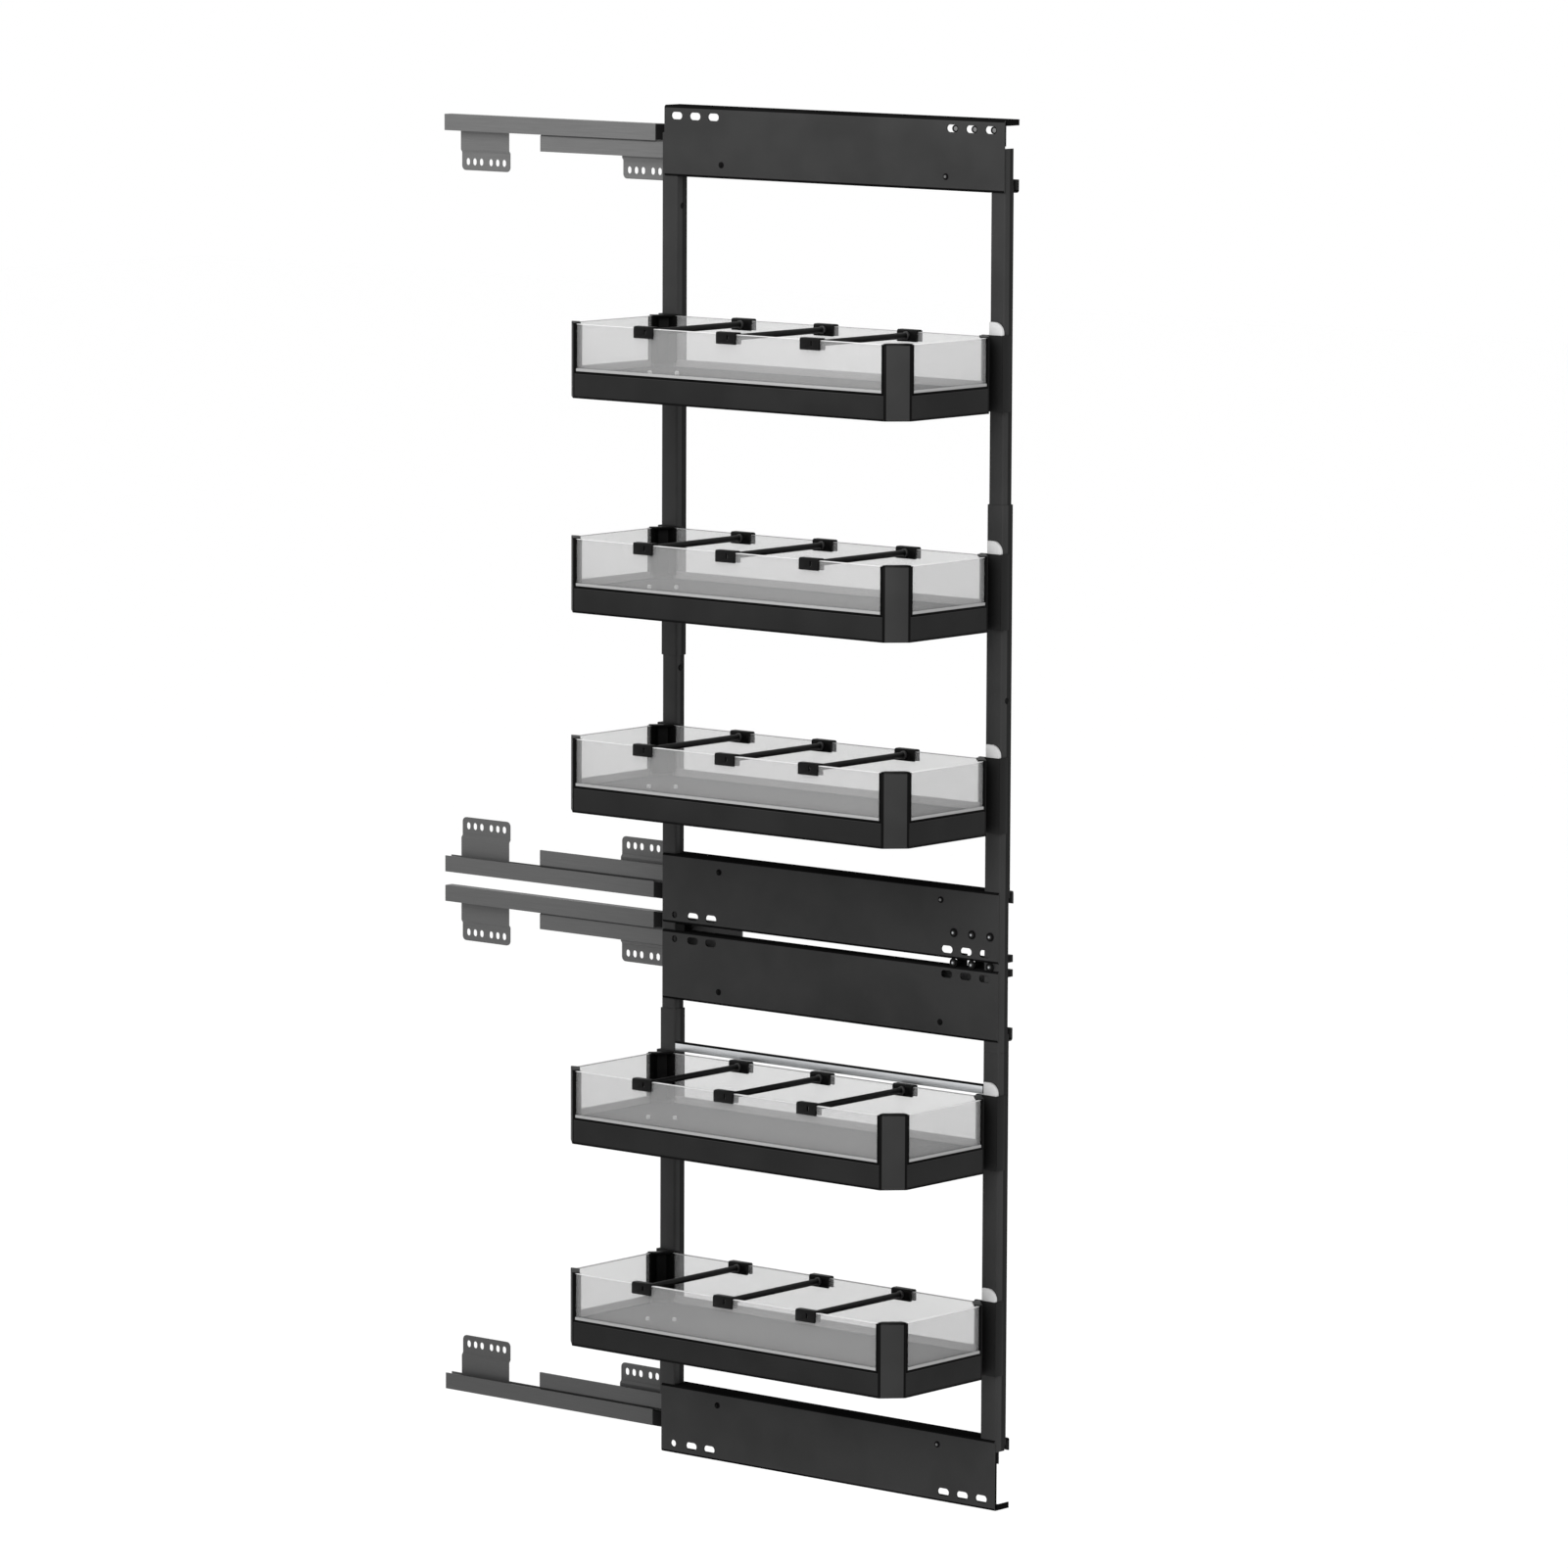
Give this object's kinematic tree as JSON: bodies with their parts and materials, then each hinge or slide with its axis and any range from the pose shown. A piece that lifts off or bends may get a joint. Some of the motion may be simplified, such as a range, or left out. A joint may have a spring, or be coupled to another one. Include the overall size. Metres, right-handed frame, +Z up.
{
  "type": "pull out pantry frame",
  "caption": "Side-mounted pull-out pantry frame on over-under ball slides, with glass-sided baskets and sliding dividers",
  "frame": {"origin": "On the cabinet wall's plane, at the middle of the lowest slide's front wall tab, on its slot line", "axes": "+X is the way the frame pulls out, +Y points into the cabinet's side wall, +Z is up; shown pulled out"},
  "size_m": [0.7641, 0.1909, 1.3969],
  "materials": {
    "slide_steel": "satin grey coating on rolled steel",
    "black_paint": "fine matt dark grey powder coat",
    "black_plastic": "matt black moulding",
    "light_plastic": "pale grey moulding",
    "light_metal": "satin aluminium",
    "zinc_steel": "zinc plated steel",
    "grey_board": "smooth grey panel",
    "clear_glass": "clear toughened glass"
  },
  "bodies": {
    "cabinet_side": {"upper_top_cabinet_rail": "slide_steel", "upper_bottom_cabinet_rail": "slide_steel", "lower_top_cabinet_rail": "slide_steel", "lower_bottom_cabinet_rail": "slide_steel", "cabinet_rail_end_guides": "black_plastic"},
    "frame": {"upper_top_frame_rail": "slide_steel", "upper_bottom_frame_rail": "slide_steel", "lower_top_frame_rail": "slide_steel", "lower_bottom_frame_rail": "slide_steel", "upper_top_plate": "black_paint", "upper_bottom_plate": "black_paint", "lower_top_plate": "black_paint", "lower_bottom_plate": "black_paint", "upper_rear_upright_top": "black_paint", "upper_rear_upright_bottom": "black_paint", "upper_front_upright_top": "black_paint", "upper_front_upright_bottom": "black_paint", "lower_rear_upright": "black_paint", "lower_front_upright": "black_paint", "lower_cross_bar": "light_metal", "fixing_screws": "zinc_steel", "frame_joining_bolts": "black_paint", "basket_hangers": "black_plastic", "basket_lock_clips": "light_plastic", "basket_1_frame": "black_paint", "basket_1_floor": "grey_board", "basket_1_glass": "clear_glass", "basket_2_frame": "black_paint", "basket_2_floor": "grey_board", "basket_2_glass": "clear_glass", "basket_3_frame": "black_paint", "basket_3_floor": "grey_board", "basket_3_glass": "clear_glass", "basket_4_frame": "black_paint", "basket_4_floor": "grey_board", "basket_4_glass": "clear_glass", "basket_5_frame": "black_paint", "basket_5_floor": "grey_board", "basket_5_glass": "clear_glass"},
    "upper_top_middle": {"upper_top_middle_rail": "slide_steel"},
    "upper_bottom_middle": {"upper_bottom_middle_rail": "slide_steel"},
    "lower_top_middle": {"lower_top_middle_rail": "slide_steel"},
    "lower_bottom_middle": {"lower_bottom_middle_rail": "slide_steel"},
    "cabinet_side_cages": {"cabinet_side_ball_cages": "zinc_steel"},
    "frame_side_cages": {"frame_side_ball_cages": "zinc_steel"},
    "basket_1_divider_1": {"basket_1_divider_1": "black_plastic"},
    "basket_1_divider_2": {"basket_1_divider_2": "black_plastic"},
    "basket_1_divider_3": {"basket_1_divider_3": "black_plastic"},
    "basket_2_divider_1": {"basket_2_divider_1": "black_plastic"},
    "basket_2_divider_2": {"basket_2_divider_2": "black_plastic"},
    "basket_2_divider_3": {"basket_2_divider_3": "black_plastic"},
    "basket_3_divider_1": {"basket_3_divider_1": "black_plastic"},
    "basket_3_divider_2": {"basket_3_divider_2": "black_plastic"},
    "basket_3_divider_3": {"basket_3_divider_3": "black_plastic"},
    "basket_4_divider_1": {"basket_4_divider_1": "black_plastic"},
    "basket_4_divider_2": {"basket_4_divider_2": "black_plastic"},
    "basket_4_divider_3": {"basket_4_divider_3": "black_plastic"},
    "basket_5_divider_1": {"basket_5_divider_1": "black_plastic"},
    "basket_5_divider_2": {"basket_5_divider_2": "black_plastic"},
    "basket_5_divider_3": {"basket_5_divider_3": "black_plastic"}
  },
  "joints": [
    {"name": "frame_slide", "type": "slide", "parent": "cabinet_side", "child": "frame", "axis": [1, 0, 0], "range_m": [-0.44, 0]},
    {"name": "upper_top_middle_slide", "type": "slide", "parent": "cabinet_side", "child": "upper_top_middle", "axis": [1, 0, 0], "range_m": [-0.22, 0]},
    {"name": "upper_bottom_middle_slide", "type": "slide", "parent": "cabinet_side", "child": "upper_bottom_middle", "axis": [1, 0, 0], "range_m": [-0.22, 0]},
    {"name": "lower_top_middle_slide", "type": "slide", "parent": "cabinet_side", "child": "lower_top_middle", "axis": [1, 0, 0], "range_m": [-0.22, 0]},
    {"name": "lower_bottom_middle_slide", "type": "slide", "parent": "cabinet_side", "child": "lower_bottom_middle", "axis": [1, 0, 0], "range_m": [-0.22, 0]},
    {"name": "cabinet_side_cages_slide", "type": "slide", "parent": "cabinet_side", "child": "cabinet_side_cages", "axis": [1, 0, 0], "range_m": [-0.11, 0]},
    {"name": "frame_side_cages_slide", "type": "slide", "parent": "cabinet_side", "child": "frame_side_cages", "axis": [1, 0, 0], "range_m": [-0.33, 0]},
    {"name": "basket_1_divider_1_slide", "type": "slide", "parent": "frame", "child": "basket_1_divider_1", "axis": [1, 0, 0], "range_m": [-0.04, 0.04]},
    {"name": "basket_1_divider_2_slide", "type": "slide", "parent": "frame", "child": "basket_1_divider_2", "axis": [1, 0, 0], "range_m": [-0.04, 0.04]},
    {"name": "basket_1_divider_3_slide", "type": "slide", "parent": "frame", "child": "basket_1_divider_3", "axis": [1, 0, 0], "range_m": [-0.04, 0.04]},
    {"name": "basket_2_divider_1_slide", "type": "slide", "parent": "frame", "child": "basket_2_divider_1", "axis": [1, 0, 0], "range_m": [-0.04, 0.04]},
    {"name": "basket_2_divider_2_slide", "type": "slide", "parent": "frame", "child": "basket_2_divider_2", "axis": [1, 0, 0], "range_m": [-0.04, 0.04]},
    {"name": "basket_2_divider_3_slide", "type": "slide", "parent": "frame", "child": "basket_2_divider_3", "axis": [1, 0, 0], "range_m": [-0.04, 0.04]},
    {"name": "basket_3_divider_1_slide", "type": "slide", "parent": "frame", "child": "basket_3_divider_1", "axis": [1, 0, 0], "range_m": [-0.04, 0.04]},
    {"name": "basket_3_divider_2_slide", "type": "slide", "parent": "frame", "child": "basket_3_divider_2", "axis": [1, 0, 0], "range_m": [-0.04, 0.04]},
    {"name": "basket_3_divider_3_slide", "type": "slide", "parent": "frame", "child": "basket_3_divider_3", "axis": [1, 0, 0], "range_m": [-0.04, 0.04]},
    {"name": "basket_4_divider_1_slide", "type": "slide", "parent": "frame", "child": "basket_4_divider_1", "axis": [1, 0, 0], "range_m": [-0.04, 0.04]},
    {"name": "basket_4_divider_2_slide", "type": "slide", "parent": "frame", "child": "basket_4_divider_2", "axis": [1, 0, 0], "range_m": [-0.04, 0.04]},
    {"name": "basket_4_divider_3_slide", "type": "slide", "parent": "frame", "child": "basket_4_divider_3", "axis": [1, 0, 0], "range_m": [-0.04, 0.04]},
    {"name": "basket_5_divider_1_slide", "type": "slide", "parent": "frame", "child": "basket_5_divider_1", "axis": [1, 0, 0], "range_m": [-0.04, 0.04]},
    {"name": "basket_5_divider_2_slide", "type": "slide", "parent": "frame", "child": "basket_5_divider_2", "axis": [1, 0, 0], "range_m": [-0.04, 0.04]},
    {"name": "basket_5_divider_3_slide", "type": "slide", "parent": "frame", "child": "basket_5_divider_3", "axis": [1, 0, 0], "range_m": [-0.04, 0.04]}
  ],
  "couplings": [
    {"joint": "upper_top_middle_slide", "follows": "frame_slide", "ratio": 0.5},
    {"joint": "upper_bottom_middle_slide", "follows": "frame_slide", "ratio": 0.5},
    {"joint": "lower_top_middle_slide", "follows": "frame_slide", "ratio": 0.5},
    {"joint": "lower_bottom_middle_slide", "follows": "frame_slide", "ratio": 0.5},
    {"joint": "cabinet_side_cages_slide", "follows": "frame_slide", "ratio": 0.25},
    {"joint": "frame_side_cages_slide", "follows": "frame_slide", "ratio": 0.75}
  ]
}
